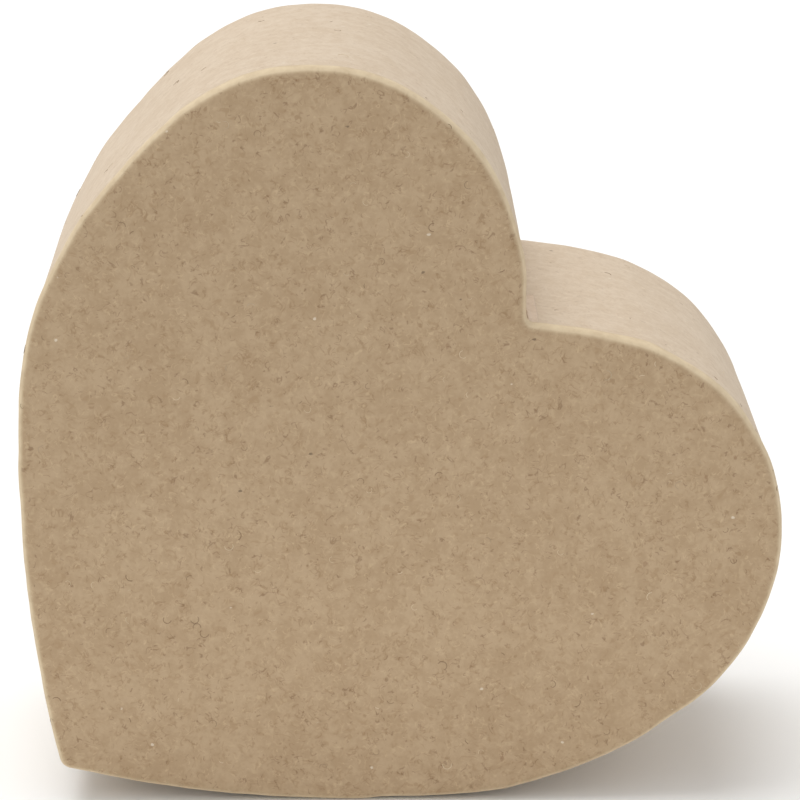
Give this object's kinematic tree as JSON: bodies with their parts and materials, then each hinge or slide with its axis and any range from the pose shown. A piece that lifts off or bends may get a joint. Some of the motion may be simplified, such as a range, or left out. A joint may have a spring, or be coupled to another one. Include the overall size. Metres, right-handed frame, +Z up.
{
  "type": "wind-up music box",
  "caption": "Heart-shaped kraft paper case standing on its curved side, holding a spring-driven comb and cylinder movement wound by a butterfly key on the back.",
  "frame": {"origin": "middle of the bounding box in X and Y, key included, on the surface the curved side stands on (z = 0)", "axes": "+Z up, front face of the heart towards -Y, key towards +Y, the heart's axis tilted 45 degrees towards +X"},
  "size_m": [0.105, 0.0632, 0.1051],
  "materials": {
    "kraft": "matte",
    "board": "matte",
    "brass": "satin",
    "plated_steel": "satin",
    "nickel": "polished",
    "steel": "satin",
    "spring_steel": "satin",
    "zinc": "matte",
    "lead": "matte"
  },
  "bodies": {
    "case": {"front_board": "board", "back_board": "board", "side_wall": "board", "side_cover": "kraft", "front_facing": "kraft", "back_facing": "kraft", "key_eyelet": "brass", "mounting_screws": "plated_steel", "screw_washers": "plated_steel", "bedplate": "zinc", "spring_case": "steel", "spring_case_lid": "steel", "case_rivets": "steel", "mainspring": "spring_steel", "bridge": "steel", "bridge_screws": "steel", "comb": "steel", "bass_weights": "lead", "comb_screws": "plated_steel", "governor_frame": "brass", "fly_bridge": "brass", "governor_screws": "steel"},
    "great_wheel": {"great_wheel": "brass", "clutch_spring": "spring_steel"},
    "key": {"winding_arbor": "steel", "clutch_drum": "steel", "arbor_clip": "spring_steel", "key_hub": "nickel", "key_wing": "nickel"},
    "cylinder": {"cylinder": "brass", "cylinder_arbor": "steel", "cylinder_pinion": "brass", "cylinder_gear": "brass"},
    "first_shaft": {"first_pinion": "steel", "first_wheel": "brass"},
    "second_shaft": {"second_pinion": "steel", "worm_wheel": "brass"},
    "fly": {"fly_shaft": "steel", "fly_blades": "brass"}
  },
  "joints": [
    {"name": "cylinder_spin", "type": "hinge", "parent": "case", "child": "cylinder", "pos_m": [-0.00112, -0.0016, 0.04471], "axis": [-0.7071, 0, 0.7071], "continuous": true},
    {"name": "great_wheel_spin", "type": "hinge", "parent": "case", "child": "great_wheel", "pos_m": [-0.01526, 0.0055, 0.05885], "axis": [0, 1, 0], "continuous": true},
    {"name": "first_shaft_spin", "type": "hinge", "parent": "case", "child": "first_shaft", "pos_m": [0.01798, 0.00174, 0.03835], "axis": [0.7071, 0, -0.7071], "continuous": true},
    {"name": "second_shaft_spin", "type": "hinge", "parent": "case", "child": "second_shaft", "pos_m": [0.01366, 0.00543, 0.03262], "axis": [-0.7071, 0, 0.7071], "continuous": true},
    {"name": "fly_spin", "type": "hinge", "parent": "case", "child": "fly", "pos_m": [0.01126, 0.0022, 0.02767], "axis": [0, 1, 0], "continuous": true},
    {"name": "key_wind", "type": "hinge", "parent": "great_wheel", "child": "key", "pos_m": [-0.01526, 0.0142, 0.05885], "axis": [0, -1, 0], "range_deg": [0, 2070]}
  ],
  "couplings": [
    {"joint": "great_wheel_spin", "follows": "cylinder_spin", "ratio": 0.57143},
    {"joint": "first_shaft_spin", "follows": "cylinder_spin", "ratio": 5},
    {"joint": "second_shaft_spin", "follows": "cylinder_spin", "ratio": 20},
    {"joint": "fly_spin", "follows": "cylinder_spin", "ratio": 400}
  ]
}
